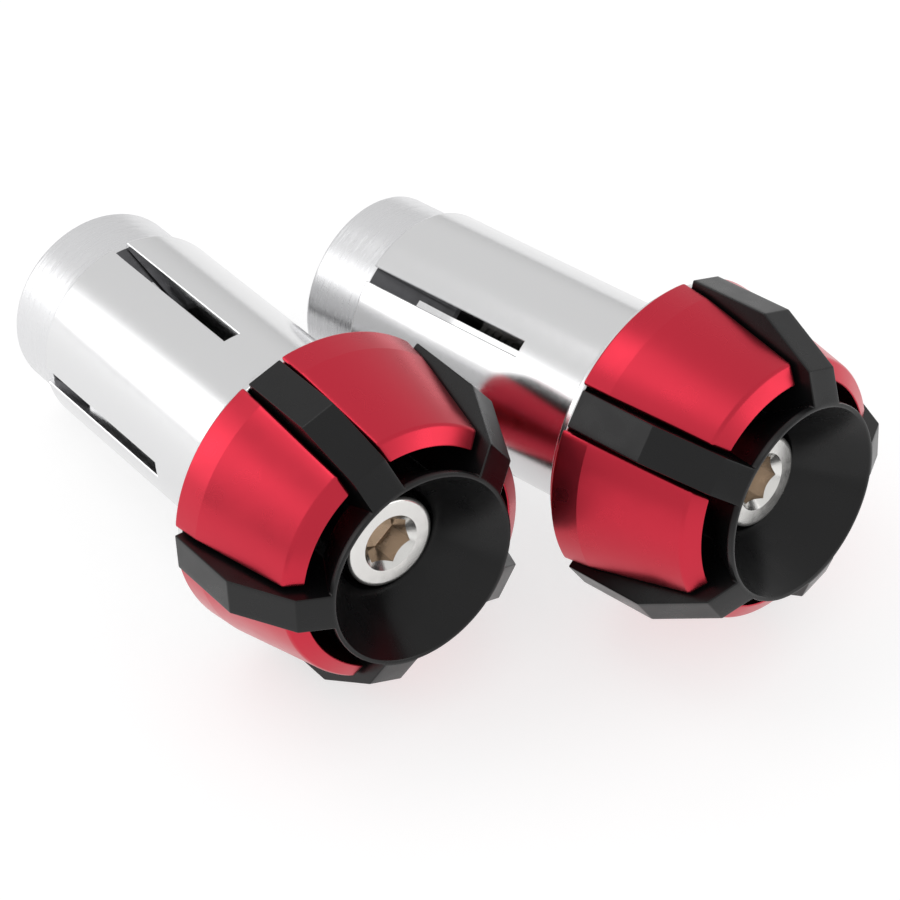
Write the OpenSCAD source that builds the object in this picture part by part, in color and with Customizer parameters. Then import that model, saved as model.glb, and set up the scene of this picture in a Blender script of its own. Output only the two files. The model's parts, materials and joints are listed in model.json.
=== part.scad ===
// A pair of expanding handlebar end plugs lying on a flat surface.
// Each plug is built on its own axis, with +Z towards the head and Z = 0 at the
// back plane of the coloured ring, and is then laid down by lay().

/* [Head ring] */
// Radius of the ring at its back edge
head_r = 14.4; // [14:0.1:15]
// Radius of the ring at the end of its short back band
ridge_r = 14.1; // [14:0.05:14.3]
// Length of the short back band
ridge_h = 2.8; // [2:0.1:4]
// Radius where the long cone ends
cone_front_r = 12.0; // [11.6:0.1:12.4]
// Height where the long cone ends
cone_front_h = 12.7; // [12:0.1:13]
// Inner radius of the front bevel, which is also the pocket's radius
pocket_r = 10.4; // [10.2:0.1:11]
// Height of the front of the ring
ring_h = 13.75; // [13.3:0.05:14]
// Thickness of the web at the back of the pocket
web_t = 3.0; // [2.5:0.1:3.2]

/* [Spider] */
// Number of arms and slots
arm_count = 5; // [3:1:6]
// Width of each arm
arm_w = 3.4; // [3:0.1:3.8]
// Gap beside each arm in its slot
arm_gap = 0.35; // [0.2:0.05:0.5]
// Radius of the outer face of an arm
arm_r = 14.65; // [14.5:0.05:14.8]
// Height of the back end of an arm
arm_back_h = 0.6; // [0.4:0.1:1]
// Outer radius of the dish rim
rim_r = 9.1; // [8.9:0.1:9.4]
// Height of the dish rim
rim_h = 15.85; // [15.5:0.05:16.2]
// Width of the thin rim
rim_t = 0.35; // [0.3:0.05:0.6]
// Outer radius of the hub under the dish
hub_r = 6.9; // [6.6:0.1:7.2]
// Radius of the recess that takes the screw head
recess_r = 4.8; // [4.6:0.1:5]
// Height where the dish meets the recess
recess_h = 10.4; // [10:0.1:10.8]

/* [Screw] */
// Height of the seat under the screw head
seat_h = 6.2; // [5.8:0.1:6.4]
// Radius of the M5 screw's shank
screw_r = 2.5; // [2.4:0.05:2.5]
// Radius of the screw head
screw_head_r = 4.25; // [4.2:0.05:4.3]
// Height of the screw head
screw_head_h = 5.0; // [4.8:0.1:5]
// Length of the screw under its head
screw_len = 35; // [34:1:36]
// Size of the hexagon socket across its flats
hex_af = 4.0; // [3.9:0.1:4.1]
// Depth of the hexagon socket
hex_depth = 3.0; // [2.5:0.1:3.2]

/* [Sleeve] */
// Radius of the sleeve, which slides into the handlebar's bore
sleeve_r = 9.5; // [9.4:0.05:9.6]
// Distance from the ring's back plane to the mouth of the sleeve
sleeve_len = 29.6; // [29:0.1:30]
// Distance from the ring's back plane to the ends of the slots
slot_root = 10.9; // [10:0.1:11.5]
// Radius of the thin flange behind the ring
flange_r = 13.6; // [13:0.1:14]
// Thickness of the flange
flange_t = 0.8; // [0.6:0.1:1]
// Radius of the bore behind the cone
bore_r = 6.8; // [6.7:0.05:6.9]
// Inner radius of the fingers at the mouth
mouth_r = 8.95; // [8.9:0.05:9]
// Width of the cut through the wall
cut_w = 0.8; // [0.6:0.1:1]
// Width of the ledge along one side of each cut
ledge_w = 0.7; // [0.4:0.1:0.9]
// Depth of the ledge below the sleeve's surface
ledge_d = 0.25; // [0.2:0.05:0.4]
// Length of the slot's open part at the mouth, which has no ledge
open_len = 5.7; // [4:0.1:7]

/* [Wedge nut] */
// Radius of the wedge nut's cylindrical band
wedge_r = 8.8; // [8.7:0.05:8.85]
// Distance from the ring's back plane to the wedge nut's back face
wedge_back = 35.9; // [35:0.1:36.5]
// Distance from the ring's back plane to the wedge nut's small end
wedge_front = 21.0; // [20.5:0.1:22]

/* [Layout] */
// Where the left plug's back plane centre stands, along X and Y
left_pos = [-10.31, -8.96];
// Direction that the left plug's head points, from X towards Y
left_yaw = -53.8; // [-58:0.1:-53.5]
// Turn of the left plug's head about its axis
left_arm_turn = 33; // [0:1:71]
// Turn of the left plug's slots about its axis
left_slot_turn = 88.5; // [0:0.5:89]
// Where the right plug's back plane centre stands, along X and Y
right_pos = [19.73, -3.3];
// Direction that the right plug's head points, from X towards Y
right_yaw = -44.0; // [-46:0.1:-43]
// Turn of the right plug's head about its axis
right_arm_turn = 65; // [60:1:70]
// Turn of the right plug's slots about its axis
right_slot_turn = 34; // [0:0.5:89]

/* [Hidden] */
$fn = 96;
eps = 0.01;
// Clearance of a screw shank in a plain hole, and in the wedge nut's thread
hole_clear = 0.25;
thread_clear = 0.05;
// Gap at each finger's root
root_gap = 0.1;
// Gap between the screw head and its seat
seat_gap = 0.02;
edge = 0.3;
finger_count = 4;
slot_w = arm_w + 2 * arm_gap;
// The slots stop at the web, which stays whole inside this radius
slot_floor_r = 8.6;
arm_floor_r = slot_floor_r + 0.3;
spigot_r = 6.0;
spigot_gap = 0.05;
spigot_h = web_t - 0.1;
// Where the bore ends inside the collar, and where its drill point ends
bore_end_h = 1.5 - slot_root;
bore_point_h = 3.5 - slot_root;
// Slope of the wedge nut's cone. The fingers' cone is shallower, so that they
// still clear the nut's small end after they have bent outwards.
wedge_slope = 0.27;
finger_slope = 0.24;
finger_cone_len = (mouth_r - bore_r) / finger_slope;
hex_r = hex_af / 2 / cos(30);
// Arm profile: where the outer face ends, and where the long bevel ends
arm_break_h = 8.6;
arm_root_r = hub_r - 1;
arm_floor_h = web_t + 0.3;
arm_bevel = [11.7, 14.4];
// Height of the dish's outer edge, and of the hub's top
rim_edge_h = rim_h - 0.6;
hub_top_h = recess_h + 0.8;
// Tilt of a plug that rests on the ring's back edge and the wedge nut's back edge
tilt = atan((head_r - wedge_r) / wedge_back);
// The left plug stands on its ring's chamfered edge, the right one on an arm
left_lift = -edge * sin(tilt);
right_lift = 0.21;

// Lays a plug down with its axis pointing along yaw and its head tilted up.
// Its own X is then level, and its own Y points up and over.
module lay(pos, yaw, lift) {
  translate([pos[0], pos[1], head_r * cos(tilt) + lift])
    rotate([0, 0, yaw + 90]) rotate([90 - tilt, 0, 0]) children();
}

module lay_left() { lay(left_pos, left_yaw, left_lift) children(); }
module lay_right() { lay(right_pos, right_yaw, right_lift) children(); }

// Turned ring with a pocket in front and a slot for each arm
module ring(turn) {
  color("crimson")
  rotate([0, 0, turn])
  difference() {
    rotate_extrude() polygon([
      [spigot_r, 0], [head_r - edge, 0], [head_r, edge], [ridge_r, ridge_h],
      [cone_front_r, cone_front_h], [pocket_r, ring_h], [pocket_r, web_t], [spigot_r, web_t]
    ]);
    for (i = [0 : arm_count - 1]) rotate([0, 0, i * 360 / arm_count])
      translate([slot_floor_r, -slot_w / 2, -eps]) cube([head_r, slot_w, ring_h + 1]);
  }
}

// Solid shape of the dish and its hub, before the inside is cut
module dish_body() {
  rotate_extrude() polygon([
    [0, web_t], [hub_r, web_t], [hub_r, hub_top_h], [rim_r, rim_edge_h], [rim_r, rim_h], [0, rim_h]
  ]);
}

// Inside of the dish, the screw head's recess and the screw hole
module dish_inside() {
  rotate_extrude() polygon([
    [0, web_t - 1], [screw_r + hole_clear, web_t - 1], [screw_r + hole_clear, seat_h - seat_gap],
    [recess_r, seat_h - seat_gap], [recess_r, recess_h], [rim_r - rim_t, rim_h], [rim_r - rim_t, rim_h + 1],
    [0, rim_h + 1]
  ]);
}

// One arm, from the dish out through its slot and back along the ring
module arm() {
  translate([0, arm_w / 2, 0]) rotate([90, 0, 0]) linear_extrude(arm_w) polygon([
    [arm_floor_r, arm_back_h], [arm_r, arm_back_h], [arm_r, arm_break_h], arm_bevel,
    [rim_r - rim_t, rim_h], [arm_root_r, recess_h], [arm_root_r, arm_floor_h], [arm_floor_r, arm_floor_h]
  ]);
}

// Black dish with arms that reach back over the ring
module spider(turn) {
  color("dimgray")
  rotate([0, 0, turn])
  difference() {
    union() {
      dish_body();
      for (i = [0 : arm_count - 1]) rotate([0, 0, i * 360 / arm_count]) arm();
    }
    dish_inside();
  }
}

// Socket head cap screw that pulls the wedge nut
module screw() {
  color("silver")
  difference() {
    rotate_extrude() polygon([
      [0, seat_h - screw_len], [screw_r - edge, seat_h - screw_len], [screw_r, seat_h - screw_len + edge],
      [screw_r, seat_h], [screw_head_r, seat_h], [screw_head_r, seat_h + screw_head_h - edge],
      [screw_head_r - edge, seat_h + screw_head_h], [0, seat_h + screw_head_h]
    ]);
    translate([0, 0, seat_h + screw_head_h - hex_depth]) cylinder(r = hex_r, h = hex_depth + 1, $fn = 6);
    translate([0, 0, seat_h + screw_head_h - edge])
      rotate_extrude() polygon([[0, -edge], [hex_r - edge, 0], [hex_r + eps, edge], [0, edge]]);
  }
}

// Flange and solid front end of the sleeve, with a spigot that centres the ring
module collar() {
  color("gainsboro")
  rotate_extrude() polygon([
    [screw_r + hole_clear, spigot_h], [spigot_r - spigot_gap, spigot_h], [spigot_r - spigot_gap, 0],
    [flange_r, 0], [flange_r, -flange_t], [sleeve_r, -flange_t], [sleeve_r, -slot_root],
    [bore_r, -slot_root], [bore_r, bore_end_h], [screw_r + hole_clear, bore_point_h]
  ]);
}

// One of the four fingers that the slots leave, index counted round the axis
module finger(turn, index) {
  color("gainsboro")
  rotate([0, 0, turn + index * 360 / finger_count])
  difference() {
    rotate_extrude(angle = 360 / finger_count) polygon([
      [bore_r, -slot_root - root_gap], [sleeve_r, -slot_root - root_gap], [sleeve_r, -sleeve_len + edge],
      [sleeve_r - edge, -sleeve_len], [mouth_r, -sleeve_len], [bore_r, -sleeve_len + finger_cone_len]
    ]);
    for (a = [0, 360 / finger_count]) rotate([0, 0, a]) {
      translate([0, -cut_w / 2, -sleeve_len - 1]) cube([sleeve_r + 1, cut_w, sleeve_len + 1]);
      translate([0, -cut_w / 2, -sleeve_len - 1]) cube([sleeve_r + 1, cut_w + ledge_w, open_len + 1]);
      translate([sleeve_r - ledge_d, 0, -sleeve_len - 1])
        cube([sleeve_r, cut_w / 2 + ledge_w, sleeve_len + 1]);
    }
  }
}

// Tapered nut that spreads the fingers when the screw pulls it in
module wedge_nut() {
  cone_front_r = wedge_r - (sleeve_len - wedge_front) * wedge_slope;
  color("lightgray")
  rotate_extrude() polygon([
    [screw_r + thread_clear, -wedge_back], [wedge_r - edge, -wedge_back], [wedge_r, -wedge_back + edge],
    [wedge_r, -sleeve_len], [cone_front_r, -wedge_front], [screw_r + thread_clear, -wedge_front]
  ]);
}

lay_left() ring(left_arm_turn);  // left_ring
lay_left() spider(left_arm_turn);  // left_spider
lay_left() screw();  // left_screw
lay_left() collar();  // left_collar
lay_left() finger(left_slot_turn, 0);  // left_finger_1
lay_left() finger(left_slot_turn, 1);  // left_finger_2
lay_left() finger(left_slot_turn, 2);  // left_finger_3
lay_left() finger(left_slot_turn, 3);  // left_finger_4
lay_left() wedge_nut();  // left_wedge_nut
lay_right() ring(right_arm_turn);  // right_ring
lay_right() spider(right_arm_turn);  // right_spider
lay_right() screw();  // right_screw
lay_right() collar();  // right_collar
lay_right() finger(right_slot_turn, 0);  // right_finger_1
lay_right() finger(right_slot_turn, 1);  // right_finger_2
lay_right() finger(right_slot_turn, 2);  // right_finger_3
lay_right() finger(right_slot_turn, 3);  // right_finger_4
lay_right() wedge_nut();  // right_wedge_nut
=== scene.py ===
"""Looks for a pair of expanding handlebar end plugs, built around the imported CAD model.

Every piece is drawn in millimetres on its plug's own axis, with +Z towards the head and Z = 0 at
the back plane of the red ring. place() then turns it and lays it where the plug's screw joint is.
"""
import json
import math

import bmesh
import bpy
import numpy as np
from mathutils import Matrix, Vector


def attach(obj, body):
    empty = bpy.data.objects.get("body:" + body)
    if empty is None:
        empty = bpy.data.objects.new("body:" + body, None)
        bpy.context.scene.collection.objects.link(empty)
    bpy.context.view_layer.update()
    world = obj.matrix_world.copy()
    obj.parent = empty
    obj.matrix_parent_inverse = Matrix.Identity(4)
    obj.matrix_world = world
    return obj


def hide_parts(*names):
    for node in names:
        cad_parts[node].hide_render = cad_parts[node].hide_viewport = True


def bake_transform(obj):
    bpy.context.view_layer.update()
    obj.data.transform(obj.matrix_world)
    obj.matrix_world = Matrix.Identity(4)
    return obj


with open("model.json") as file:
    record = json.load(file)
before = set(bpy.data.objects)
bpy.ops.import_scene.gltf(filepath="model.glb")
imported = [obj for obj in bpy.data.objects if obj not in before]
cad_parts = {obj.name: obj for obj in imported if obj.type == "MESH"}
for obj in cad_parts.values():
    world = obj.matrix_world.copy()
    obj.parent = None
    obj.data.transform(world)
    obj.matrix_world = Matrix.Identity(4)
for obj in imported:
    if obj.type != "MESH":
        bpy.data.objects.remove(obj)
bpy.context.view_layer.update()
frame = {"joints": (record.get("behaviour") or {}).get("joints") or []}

# ---------------------------------------------------------------- sizes, in millimetres
MM = 0.001
SIDES = ("left", "right")
ARM_TURN = {"left": 33, "right": 65}
SLOT_TURN = {"left": 88.5, "right": 34}
SOCKET_TURN = {"left": 34, "right": 40}
ARMS = 5
FINGERS = 4

# Profiles are (r, h) points. The ring's crease lies between its back band and its long cone.
WEB_BORE_R, WEB_R, WEB_H = 6.0, 8.6, 3.0
SLOT_HALF = 2.05
RING_PROFILE = ((8.6, 0), (14.4, 0), (14.1, 2.8), (12.0, 12.7), (10.4, 13.75), (10.4, 3.0), (8.6, 3.0))
RING_CREASE = 2

ARM_HALF = 1.7
SCREW_HOLE_R = 2.75
DISH_INSIDE = ((SCREW_HOLE_R, 3.0), (SCREW_HOLE_R, 6.18), (4.8, 6.18), (4.8, 10.4), (8.75, 15.85))
DISH_OUTSIDE = ((9.1, 15.85), (9.1, 15.25), (6.9, 11.2), (6.9, 3.4), (6.9, 3.0))
ARM_OUTSIDE = ((9.1, 15.85), (11.7, 14.4), (14.65, 8.6), (14.65, 0.6), (8.9, 0.6), (8.9, 3.4),
               (6.9, 3.4), (6.9, 3.0))

SCREW_R, THREAD_DEPTH, PITCH = 2.5, 0.45, 0.8
HEAD_R, HEAD_LOW, HEAD_TOP = 4.25, 6.2, 11.2
SCREW_END = -28.8
HEX_FLAT_R, HEX_DEPTH, DRILL_POINT = 2.0, 3.0, 0.9
COUNTERSINK_R = 2.65

SLEEVE_R, MOUTH_R, BORE_R = 9.5, 8.95, 6.8
SLOT_ROOT, MOUTH = -10.9, -29.6
FINGER_SLOPE = 0.24
CUT_HALF, LEDGE_W, LEDGE_R, OPEN_LEN = 0.4, 0.7, 9.25, 5.7
FLANGE_R, FLANGE_T = 13.6, 0.8
SPIGOT_R, SPIGOT_H, FLANGE_GAP = 5.95, 2.9, 0.02
BORE_POINT, BORE_END = -7.4, -9.4

WEDGE_R, WEDGE_BACK, WEDGE_FRONT = 8.8, -35.9, -21.0
CONE_FRONT_R = 6.478
NUT_THREAD_R, NUT_MOUTH_R = 2.55, 3.1
MARK_STEP, MARK_COUNT, MARK_DEPTH = 0.1, 58, 0.015

# Depth of the surfaces' fine bumps, in metres
FINE_BUMP, TURNED_BUMP = 0.00002, 0.00004


# ---------------------------------------------------------------- mesh helpers
def mesh_object(name, verts, faces):
    """A mesh object in millimetres on the plug's axis, with its faces turned outwards."""
    mesh = bpy.data.meshes.new(name)
    mesh.from_pydata([tuple(v) for v in verts], [], faces)
    mesh.validate()
    work = bmesh.new()
    work.from_mesh(mesh)
    bmesh.ops.recalc_face_normals(work, faces=work.faces)
    work.to_mesh(mesh)
    work.free()
    obj = bpy.data.objects.new(name, mesh)
    bpy.context.scene.collection.objects.link(obj)
    return obj


def applied(obj):
    """Applies an object's modifiers and returns it."""
    graph = bpy.context.evaluated_depsgraph_get()
    mesh = bpy.data.meshes.new_from_object(obj.evaluated_get(graph))
    obj.modifiers.clear()
    obj.data = mesh
    return obj


def bevel(obj, width, segments=3, angle=25):
    """Rounds every edge sharper than angle."""
    mod = obj.modifiers.new("edges", "BEVEL")
    mod.width = width
    mod.segments = segments
    mod.limit_method = "ANGLE"
    mod.angle_limit = math.radians(angle)
    mod.miter_outer = "MITER_ARC"
    return applied(obj)


def smooth(obj, angle=30):
    """Smooth shading that keeps large faces flat and edges sharper than angle crisp."""
    obj.data.shade_smooth()
    obj.data.set_sharp_from_angle(angle=math.radians(angle))
    mod = obj.modifiers.new("normals", "WEIGHTED_NORMAL")
    mod.keep_sharp = True
    return applied(obj)


def rounded(profile, radii, steps=4):
    """A profile of (r, h) points with its corners rounded. radii holds one radius for each point."""
    out = []
    for i, (point, radius) in enumerate(zip(profile, radii)):
        if radius == 0:
            out.append(point)
            continue
        p = Vector(point)
        before = (Vector(profile[i - 1]) - p)
        after = (Vector(profile[(i + 1) % len(profile)]) - p)
        half = before.angle(after) / 2
        reach = min(radius / math.tan(half), before.length * 0.45, after.length * 0.45)
        start = p + before.normalized() * reach
        end = p + after.normalized() * reach
        for k in range(steps + 1):
            t = k / steps
            q = start * (1 - t) ** 2 + p * 2 * t * (1 - t) + end * t ** 2
            out.append((q.x, q.y))
    return out


def revolve(name, profile, columns=128):
    """A closed solid of revolution from a closed profile of (r, h) points, given anticlockwise."""
    verts, rows = [], []
    for r, h in profile:
        if r < 1e-6:
            rows.append([len(verts)] * columns)
            verts.append((0, 0, h))
            continue
        rows.append(list(range(len(verts), len(verts) + columns)))
        for j in range(columns):
            a = 2 * math.pi * j / columns
            verts.append((r * math.cos(a), r * math.sin(a), h))
    faces = []
    for i, low in enumerate(rows):
        high = rows[(i + 1) % len(rows)]
        for j in range(columns):
            k = (j + 1) % columns
            face = list(dict.fromkeys((low[j], low[k], high[k], high[j])))
            if len(face) > 2:
                faces.append(face)
    return mesh_object(name, verts, faces)


# ---------------------------------------------------------------- placing
def plug_matrix(side):
    """The matrix that lays a plug down: its origin and axis come from its screw joint."""
    joint = next(j for j in frame["joints"] if j["name"] == side + "_screw_turn")
    axis = -Vector(joint["axis"]).normalized()
    level = Vector((0, 0, 1)).cross(axis).normalized()
    over = axis.cross(level)
    turn = Matrix((level, over, axis)).transposed().to_4x4()
    return Matrix.Translation(Vector(joint["pos_m"])) @ turn @ Matrix.Scale(MM, 4)


def place(source, name, side, turn, materials, nodes):
    """Copies a finished piece, turns it about its axis and lays it in its plug."""
    mesh = source.data.copy()
    mesh.name = name
    count = len(mesh.vertices)
    local = np.zeros(count * 3, np.float32)
    mesh.vertices.foreach_get("co", local)
    kept = mesh.attributes.new("plug", "FLOAT_VECTOR", "POINT")
    kept.data.foreach_set("vector", local)
    mesh.transform(plug_matrix(side) @ Matrix.Rotation(math.radians(turn), 4, "Z"))
    for material in materials:
        mesh.materials.append(material)
    obj = bpy.data.objects.new(name, mesh)
    bpy.context.scene.collection.objects.link(obj)
    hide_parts(*nodes)
    return obj


# ---------------------------------------------------------------- materials
def new_material(name, color, metallic, roughness, **sockets):
    """A material, its node tree and its shader. Sockets are named with _ for each space."""
    mat = bpy.data.materials.new(name)
    mat.use_nodes = True
    shader = mat.node_tree.nodes["Principled BSDF"]
    shader.inputs["Base Color"].default_value = (*color, 1)
    shader.inputs["Metallic"].default_value = metallic
    shader.inputs["Roughness"].default_value = roughness
    for socket, value in sockets.items():
        shader.inputs[socket.replace("_", " ")].default_value = value
    return mat, mat.node_tree, shader


def plug_coordinates(tree):
    """Places on the plug in millimetres on its own axis, as place() stored them."""
    node = tree.nodes.new("ShaderNodeAttribute")
    node.attribute_name = "plug"
    return node.outputs["Vector"]


def noise(tree, vector, scale, detail=2.0, stretch=(1, 1, 1)):
    mapping = tree.nodes.new("ShaderNodeMapping")
    mapping.inputs["Scale"].default_value = stretch
    node = tree.nodes.new("ShaderNodeTexNoise")
    node.inputs["Scale"].default_value = scale
    node.inputs["Detail"].default_value = detail
    tree.links.new(vector, mapping.inputs["Vector"])
    tree.links.new(mapping.outputs["Vector"], node.inputs["Vector"])
    return node.outputs["Fac"]


def ramp(tree, value, low, high):
    """Spreads a noise value over the range from low to high."""
    node = tree.nodes.new("ShaderNodeMapRange")
    node.inputs["From Min"].default_value = 0.3
    node.inputs["From Max"].default_value = 0.7
    node.inputs["To Min"].default_value = low
    node.inputs["To Max"].default_value = high
    tree.links.new(value, node.inputs["Value"])
    return node.outputs["Result"]


def add_bump(tree, shader, height, strength, distance):
    node = tree.nodes.new("ShaderNodeBump")
    node.inputs["Strength"].default_value = strength
    node.inputs["Distance"].default_value = distance
    tree.links.new(height, node.inputs["Height"])
    tree.links.new(node.outputs["Normal"], shader.inputs["Normal"])


def red_anodised():
    """The ring's satin red."""
    mat, tree, shader = new_material("red_anodised", (0.56, 0.022, 0.046), 1.0, 0.3,
                                     Coat_Weight=0.25, Coat_Roughness=0.35)
    where = plug_coordinates(tree)
    tree.links.new(ramp(tree, noise(tree, where, 0.35), 0.26, 0.33), shader.inputs["Roughness"])
    add_bump(tree, shader, noise(tree, where, 6), 0.05, FINE_BUMP)
    return mat


def black_anodised():
    """The spider's satin black."""
    mat, tree, shader = new_material("black_anodised", (0.003, 0.003, 0.0033), 0.0, 0.3, IOR=1.38)
    where = plug_coordinates(tree)
    tree.links.new(ramp(tree, noise(tree, where, 0.4), 0.25, 0.33), shader.inputs["Roughness"])
    add_bump(tree, shader, noise(tree, where, 6), 0.06, FINE_BUMP)
    return mat


def bright_steel():
    """The screw's plated head and thread."""
    mat, tree, shader = new_material("bright_steel", (0.74, 0.73, 0.71), 1.0, 0.2)
    where = plug_coordinates(tree)
    tree.links.new(ramp(tree, noise(tree, where, 1.2), 0.16, 0.26), shader.inputs["Roughness"])
    add_bump(tree, shader, noise(tree, where, 5, 3), 0.08, FINE_BUMP)
    return mat


def socket_steel():
    """The brownish steel inside the hexagon socket."""
    mat, tree, shader = new_material("socket_steel", (0.50, 0.36, 0.25), 1.0, 0.24)
    where = plug_coordinates(tree)
    tree.links.new(ramp(tree, noise(tree, where, 1.5), 0.22, 0.36), shader.inputs["Roughness"])
    return mat


def bright_aluminium():
    """The polished sleeve, with faint turning lines round its axis."""
    mat, tree, shader = new_material("bright_aluminium", (0.72, 0.72, 0.725), 1.0, 0.2)
    where = plug_coordinates(tree)
    lines = noise(tree, where, 6, 2, (0.15, 0.15, 4))
    tree.links.new(ramp(tree, lines, 0.16, 0.24), shader.inputs["Roughness"])
    add_bump(tree, shader, lines, 0.06, FINE_BUMP)
    return mat


def turned_aluminium():
    """The nut's dull band, with stronger turning lines."""
    mat, tree, shader = new_material("turned_aluminium", (0.72, 0.72, 0.73), 1.0, 0.3)
    where = plug_coordinates(tree)
    lines = noise(tree, where, 5, 2, (0.1, 0.1, 3))
    tree.links.new(ramp(tree, lines, 0.24, 0.38), shader.inputs["Roughness"])
    add_bump(tree, shader, lines, 0.25, TURNED_BUMP)
    return mat


def painted_shade_aluminium():
    """The nut's cone, coloured dark as painted shade where it sits inside the sleeve."""
    mat, tree, shader = new_material("painted_shade_aluminium", (0.10, 0.10, 0.105), 1.0, 0.4)
    where = plug_coordinates(tree)
    tree.links.new(ramp(tree, noise(tree, where, 1.5), 0.34, 0.5), shader.inputs["Roughness"])
    return mat


# ---------------------------------------------------------------- pieces
def build_ring():
    """The red ring: five segments with parallel slot walls, joined by a web at the back."""
    per_segment, per_slot = 24, 4
    step = 2 * math.pi / ARMS
    profile = rounded(RING_PROFILE, [0.3 if i == RING_CREASE else 0 for i in range(len(RING_PROFILE))], 2)
    n = len(profile)
    verts, columns = [], []

    def column(angles):
        start = len(verts)
        for (r, h), a in zip(profile, angles):
            verts.append((r * math.cos(a), r * math.sin(a), h))
        for h in (WEB_H, 0):
            verts.append((WEB_BORE_R * math.cos(angles[0]), WEB_BORE_R * math.sin(angles[0]), h))
        return start

    for s in range(ARMS):
        for k in range(per_segment + 1):
            t = k / per_segment
            angles = [s * step + math.asin(SLOT_HALF / r) * (1 - 2 * t) + step * t for r, _ in profile]
            columns.append((column(angles), k < per_segment, k in (0, per_segment)))
        edge = math.asin(SLOT_HALF / WEB_R)
        for k in range(1, per_slot):
            a = (s + 1) * step - edge + 2 * edge * k / per_slot
            start = len(verts)
            for h in (0, WEB_H):
                verts.append((WEB_R * math.cos(a), WEB_R * math.sin(a), h))
            for h in (WEB_H, 0):
                verts.append((WEB_BORE_R * math.cos(a), WEB_BORE_R * math.sin(a), h))
            columns.append((start, False, None))
    faces = []

    def web_points(entry):
        start, _, kind = entry
        if kind is None:
            return [start, start + 1, start + 2, start + 3]
        return [start, start + n - 1, start + n, start + n + 1]

    for i, entry in enumerate(columns):
        after = columns[(i + 1) % len(columns)]
        if entry[1]:
            a = [entry[0] + k for k in range(n + 2)]
            b = [after[0] + k for k in range(n + 2)]
        else:
            a, b = web_points(entry), web_points(after)
        m = len(a)
        faces += [[a[k], b[k], b[(k + 1) % m], a[(k + 1) % m]] for k in range(m)]
        if entry[2]:
            cap = [entry[0] + k for k in range(n)]
            faces.append(cap if not entry[1] else cap[::-1])
    ring = mesh_object("ring_source", verts, faces)
    return smooth(bevel(ring, 0.25, 3, 20), 40)


def build_spider():
    """The black dish with its five arms, in columns of points that follow the arms' flat sides."""
    per_gap, per_arm = 26, 6
    step = 2 * math.pi / ARMS
    rim_r = DISH_OUTSIDE[0][0]
    edge = math.asin(ARM_HALF / rim_r)
    verts, faces = [], []

    def points(profile, turn, angle_of):
        start = len(verts)
        for r, h in profile:
            a = turn + angle_of(r)
            verts.append((r * math.cos(a), r * math.sin(a), h))
        return list(range(start, len(verts)))

    def arm_points(turn, offset):
        """The arm's outline at one offset from its middle: flat outside the dish, round on the hub."""
        start = len(verts)
        for r, h in ARM_OUTSIDE:
            x = math.sqrt(r * r - offset * offset) if r <= rim_r and r != ARM_OUTSIDE[4][0] else r
            verts.append((x * math.cos(turn) - offset * math.sin(turn),
                          x * math.sin(turn) + offset * math.cos(turn), h))
        return list(range(start, len(verts)))

    def strip(a, b):
        faces.extend([a[k], b[k], b[(k + 1) % len(a)], a[(k + 1) % len(a)]] for k in range(len(a)))

    loops = []
    for s in range(ARMS):
        turn = s * step
        for k in range(per_arm + 1):
            side = 2 * k / per_arm - 1
            inside = points(DISH_INSIDE, turn, lambda r: side * edge)
            arm = arm_points(turn, side * ARM_HALF)
            if k in (0, per_arm):
                middle = points(DISH_OUTSIDE[1:3], turn, lambda r: side * math.asin(ARM_HALF / r))
                gap = inside + [arm[0]] + middle + arm[-2:]
                wall = arm[:-1] + middle[::-1]
                faces.append(wall if k else wall[::-1])
            loops.append((inside + arm, gap if k in (0, per_arm) else None))
        for k in range(1, per_gap):
            t = k / per_gap
            inside = points(DISH_INSIDE, turn, lambda r: edge * (1 - 2 * t) + step * t)
            outside = points(DISH_OUTSIDE, turn, lambda r: math.asin(ARM_HALF / r) * (1 - 2 * t) + step * t)
            loops.append((None, inside + outside))
    for i, (arm_a, gap_a) in enumerate(loops):
        arm_b, gap_b = loops[(i + 1) % len(loops)]
        if arm_a and arm_b and not (gap_a and gap_b):
            strip(arm_a, arm_b)
        else:
            strip(gap_a, gap_b)
    spider = mesh_object("spider_source", verts, faces)
    return smooth(bevel(spider, 0.12, 2, 20), 40)


def hex_radius(angle):
    """Distance from the axis to the socket's wall, with a corner at angle zero."""
    return HEX_FLAT_R / math.cos((angle % (math.pi / 3)) - math.pi / 6)


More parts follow.
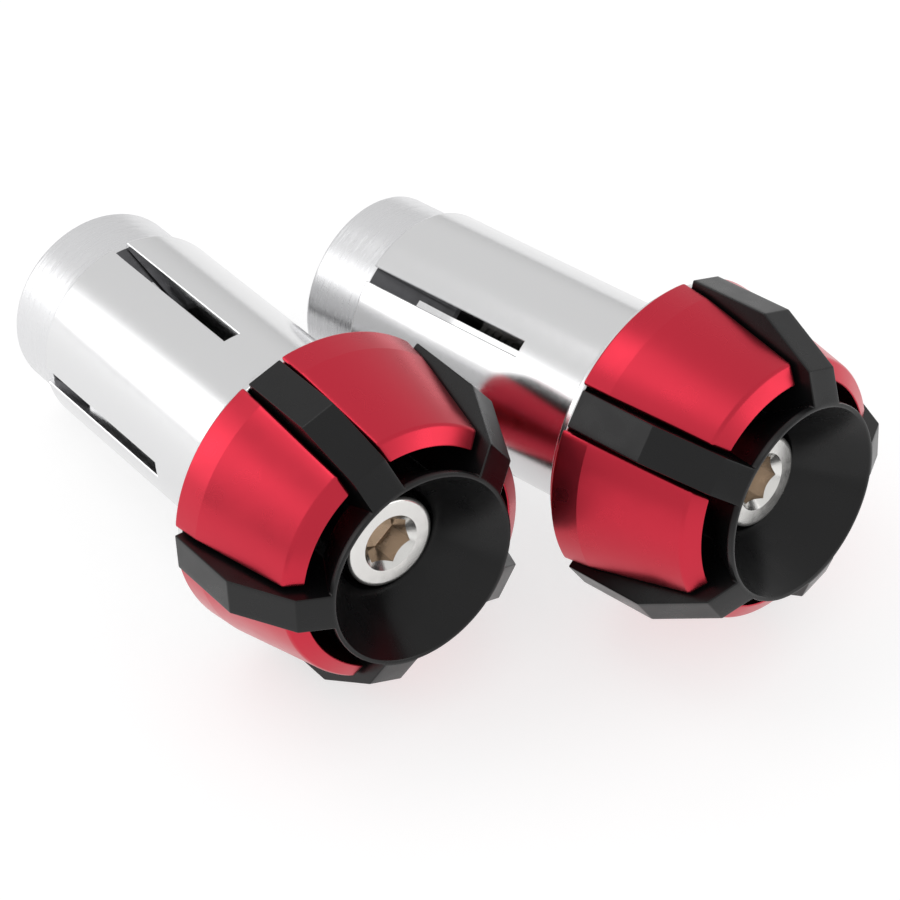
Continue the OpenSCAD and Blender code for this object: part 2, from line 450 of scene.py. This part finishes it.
def build_screw():
    """Socket head cap screw with a countersunk hexagon socket and a rolled thread."""
    columns = 96
    lip = 0.05
    rows = []

    def circle(r, h):
        rows.append([(r, h)] * columns)

    circle(0, HEAD_TOP - HEX_DEPTH - DRILL_POINT)
    angles = [2 * math.pi * j / columns for j in range(columns)]
    rows.append([(hex_radius(a) * 0.99, HEAD_TOP - HEX_DEPTH) for a in angles])
    rows.append([(hex_radius(a), HEAD_TOP - HEX_DEPTH + lip) for a in angles])
    rows.append([(hex_radius(a), HEAD_TOP - (COUNTERSINK_R - hex_radius(a))) for a in angles])
    head = rounded([(COUNTERSINK_R, HEAD_TOP), (HEAD_R, HEAD_TOP), (HEAD_R, HEAD_LOW), (SCREW_R, HEAD_LOW)],
                   [0, 0.45, 0.2, 0], 5)
    for r, h in head:
        circle(r, h)
    circle(SCREW_R, HEAD_LOW - 1.0)
    thread_top = HEAD_LOW - 1.6
    step = PITCH / 8
    count = int((thread_top - SCREW_END) / step)
    for i in range(count):
        h = thread_top - i * step
        fade = min(1, i / 12, (count - i) / 12)
        row = []
        for a in angles:
            phase = (h / PITCH - a / (2 * math.pi)) % 1
            row.append((SCREW_R - THREAD_DEPTH * fade * abs(2 * phase - 1), h))
        rows.append(row)
    circle(SCREW_R - THREAD_DEPTH - 0.1, SCREW_END)
    circle(0, SCREW_END)
    verts, index = [], []
    for row in rows:
        if row[0][0] == 0:
            index.append([len(verts)] * columns)
            verts.append((0, 0, row[0][1]))
            continue
        index.append(list(range(len(verts), len(verts) + columns)))
        verts += [(r * math.cos(a), r * math.sin(a), h) for (r, h), a in zip(row, angles)]
    faces, socket = [], []
    for i in range(len(rows) - 1):
        for j in range(columns):
            k = (j + 1) % columns
            face = list(dict.fromkeys((index[i][j], index[i + 1][j], index[i + 1][k], index[i][k])))
            if len(face) > 2:
                faces.append(face)
                socket.append(i < 2)
    screw = mesh_object("screw_source", verts, faces)
    screw.data.polygons.foreach_set("material_index", [int(s) for s in socket])
    return smooth(screw, 28)


def build_collar():
    """Flange, spigot and solid front end of the sleeve."""
    profile = [(SCREW_HOLE_R, SPIGOT_H), (SCREW_HOLE_R, BORE_POINT), (BORE_R, BORE_END),
               (BORE_R, SLOT_ROOT), (SLEEVE_R, SLOT_ROOT), (SLEEVE_R, -FLANGE_T), (FLANGE_R, -FLANGE_T),
               (FLANGE_R, -FLANGE_GAP), (SPIGOT_R, -FLANGE_GAP), (SPIGOT_R, SPIGOT_H)]
    radii = [0, 0, 0, 0, 0, 0.3, 0.2, 0.2, 0, 0.2]
    return smooth(revolve("collar_source", rounded(profile, radii), 144), 30)


def build_finger():
    """One finger of the sleeve. Past the slot's open part, a shallow ledge runs along its first edge."""
    arc = 30
    bore_h = MOUTH + (MOUTH_R - BORE_R) / FINGER_SLOPE
    ledge_h = MOUTH + OPEN_LEN
    wide = CUT_HALF + LEDGE_W
    fillet, softened, step = 0.3, 0.08, 0.02
    stations = [(MOUTH + fillet * (1 - math.cos(t * math.pi / 8)), fillet * (1 - math.sin(t * math.pi / 8)))
                for t in range(5)]
    stations += [(ledge_h - step, 0), (ledge_h + step, 0), (bore_h, 0)]
    stations += [(bore_h + (SLOT_ROOT - bore_h) * t / 8, 0) for t in range(1, 9)]
    rows, verts = [], []
    for h, inset in stations:
        outer = SLEEVE_R - inset
        inner = min(max(BORE_R, MOUTH_R - (h - MOUTH) * FINGER_SLOPE), outer - 0.12)
        skin = outer - min(softened, (outer - inner) / 4)
        ledge = min(LEDGE_R, (skin + inner) / 2)
        cut = wide if h < ledge_h else CUT_HALF
        ledge_side = [(skin, wide), (ledge, wide), (ledge - step, cut), (inner, cut)]
        plain_side = [(skin, CUT_HALF), (inner, CUT_HALF)]
        start = math.asin((wide + softened) / outer)
        end = math.pi / 2 - math.asin((CUT_HALF + softened) / outer)
        row = []
        for k in range(arc + 1):
            a = start + (end - start) * k / arc
            row.append((outer * math.cos(a), outer * math.sin(a)))
        row += [(off, math.sqrt(r * r - off * off)) for r, off in plain_side]
        first = math.asin(cut / inner)
        last = math.pi / 2 - math.asin(CUT_HALF / inner)
        for k in range(1, arc):
            a = last + (first - last) * k / arc
            row.append((inner * math.cos(a), inner * math.sin(a)))
        row += [(math.sqrt(r * r - off * off), off) for r, off in reversed(ledge_side)]
        rows.append(list(range(len(verts), len(verts) + len(row))))
        verts += [(x, y, h) for x, y in row]
    n = len(rows[0])
    faces = [[rows[i][j], rows[i][(j + 1) % n], rows[i + 1][(j + 1) % n], rows[i + 1][j]]
             for i in range(len(rows) - 1) for j in range(n)]
    faces += [rows[0][::-1], rows[-1]]
    return smooth(mesh_object("finger_source", verts, faces), 35)


def build_wedge():
    """Wedge nut: a band with fine turning marks, and the cone that spreads the fingers."""
    rng = np.random.default_rng(7)
    first_mark = WEDGE_BACK + 0.45
    marks = [(WEDGE_R - MARK_DEPTH * rng.random(), first_mark + MARK_STEP * k) for k in range(MARK_COUNT)]
    profile = [(NUT_THREAD_R, WEDGE_FRONT), (NUT_THREAD_R, WEDGE_BACK + 0.6), (NUT_MOUTH_R, WEDGE_BACK)]
    back_edge = [(NUT_MOUTH_R, WEDGE_BACK), (WEDGE_R, WEDGE_BACK), (WEDGE_R, WEDGE_BACK + 3)]
    profile += rounded(back_edge, [0, 0.35, 0])[1:-1]
    profile += marks
    cone = [(CONE_FRONT_R + 0.06, WEDGE_FRONT - 0.25), (CONE_FRONT_R - 0.2, WEDGE_FRONT)]
    profile += [(WEDGE_R, MOUTH), *cone]
    wedge = revolve("wedge_source", profile, 144)
    # Faces of the cone inside the sleeve take the dark material: painted shade.
    painted_shade_faces = [int(face.center.z > MOUTH + 0.1) for face in wedge.data.polygons]
    wedge.data.polygons.foreach_set("material_index", painted_shade_faces)
    return smooth(wedge, 30)


# ---------------------------------------------------------------- the object
RED, BLACK, STEEL, SOCKET = red_anodised(), black_anodised(), bright_steel(), socket_steel()
# The third material here paints shade on the nut's cone inside the sleeve.
ALUMINIUM, TURNED, PAINTED_SHADE = bright_aluminium(), turned_aluminium(), painted_shade_aluminium()

ring, spider, screw = build_ring(), build_spider(), build_screw()
collar, finger, wedge = build_collar(), build_finger(), build_wedge()

for side in SIDES:
    pieces = (
        (ring, "red_ring", ARM_TURN[side], [RED], "red_anodised", "ring", "heads"),
        (spider, "black_spider", ARM_TURN[side], [BLACK], "black_anodised", "spider", "heads"),
        (screw, "cap_screw", SOCKET_TURN[side], [STEEL, SOCKET], "bright_steel", "screw", side + "_screw"),
        (collar, "sleeve_collar", 0, [ALUMINIUM], "bright_aluminium", "collar", "heads"),
        (wedge, "wedge", 0, [TURNED, PAINTED_SHADE], "turned_aluminium", "wedge_nut", side + "_wedge_nut"),
    )
    for source, name, turn, materials, slot, node, body in pieces:
        piece = place(source, f"{side}_{name}", side, turn, materials, [f"{side}_{node}"])
        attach(piece, body)
    for i in range(FINGERS):
        node = f"{side}_finger_{i + 1}"
        turn = SLOT_TURN[side] + 360 / FINGERS * i
        name = f"{side}_sleeve_finger_{i + 1}"
        piece = place(finger, name, side, turn, [ALUMINIUM], [node])
        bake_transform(piece)
for source in (ring, spider, screw, collar, finger, wedge):
    bpy.data.objects.remove(source)


# ---------------------------------------------------------------- floor, light and camera
def direction(azimuth, elevation):
    """A unit vector, with azimuth from +X towards +Y and elevation above the floor, in degrees."""
    a, e = math.radians(azimuth), math.radians(elevation)
    return Vector((math.cos(e) * math.cos(a), math.cos(e) * math.sin(a), math.sin(e)))


def softbox(name, azimuth, elevation, distance, size, radiance):
    """A rectangular light that faces the object and shows in reflections, but not to the camera."""
    data = bpy.data.lights.new(name, "AREA")
    data.shape = "RECTANGLE"
    data.size, data.size_y = size
    data.energy = radiance * math.pi * size[0] * size[1]
    obj = bpy.data.objects.new(name, data)
    obj.location = direction(azimuth, elevation) * distance
    obj.rotation_euler = direction(azimuth, elevation).to_track_quat("Z", "Y").to_euler()
    obj.visible_camera = False
    bpy.context.scene.collection.objects.link(obj)


def studio_world():
    """Pale walls: dim at the horizon, brighter overhead."""
    world = bpy.data.worlds.new("studio")
    world.use_nodes = True
    tree = world.node_tree
    where = tree.nodes.new("ShaderNodeTexCoord")
    split = tree.nodes.new("ShaderNodeSeparateXYZ")
    tree.links.new(where.outputs["Generated"], split.inputs["Vector"])
    levels = tree.nodes.new("ShaderNodeValToRGB")
    stops = levels.color_ramp.elements
    stops[0].position, stops[0].color = 0.0, (0.36, 0.36, 0.36, 1)
    stops[1].position, stops[1].color = 1.0, (0.80, 0.80, 0.80, 1)
    for position, level in ((0.06, 0.72), (0.3, 0.84), (0.6, 0.84)):
        stops.new(position).color = (level, level, level, 1)
    tree.links.new(split.outputs["Z"], levels.inputs["Fac"])
    tree.links.new(levels.outputs["Color"], tree.nodes["Background"].inputs["Color"])
    bpy.context.scene.world = world


def build_floor():
    """A pale floor that glows a little, so that it stays white under soft shadows."""
    floor = mesh_object("floor", [(-2, -2, 0), (2, -2, 0), (2, 2, 0), (-2, 2, 0)], [[0, 1, 2, 3]])
    mat, _, shader = new_material("floor", (0.42, 0.42, 0.42), 0.0, 0.7)
    shader.inputs["Emission Color"].default_value = (1, 1, 1, 1)
    shader.inputs["Emission Strength"].default_value = 0.64
    floor.data.materials.append(mat)


def aim_camera():
    data = bpy.data.cameras.new("camera")
    data.lens = 152
    data.sensor_width = 36
    data.clip_end = 20
    camera = bpy.data.objects.new("camera", data)
    camera.location = VIEW_TARGET + direction(-90, VIEW_ELEVATION) * VIEW_DISTANCE
    camera.rotation_euler = (math.radians(90 - VIEW_ELEVATION), 0, 0)
    bpy.context.scene.collection.objects.link(camera)
    bpy.context.scene.camera = camera


VIEW_TARGET = Vector((1.17, 8.71, 0)) * MM
VIEW_DISTANCE = 348.8 * MM
VIEW_ELEVATION = 45.5

build_floor()
studio_world()
softbox("left_softbox", 172, 20, 0.5, (0.28, 0.30), 1.3)
softbox("right_softbox", -9, 18, 0.5, (0.36, 0.20), 1.2)
softbox("top_softbox", 150, 62, 0.6, (0.26, 0.20), 1.5)
aim_camera()
bpy.context.scene.view_settings.view_transform = "Standard"
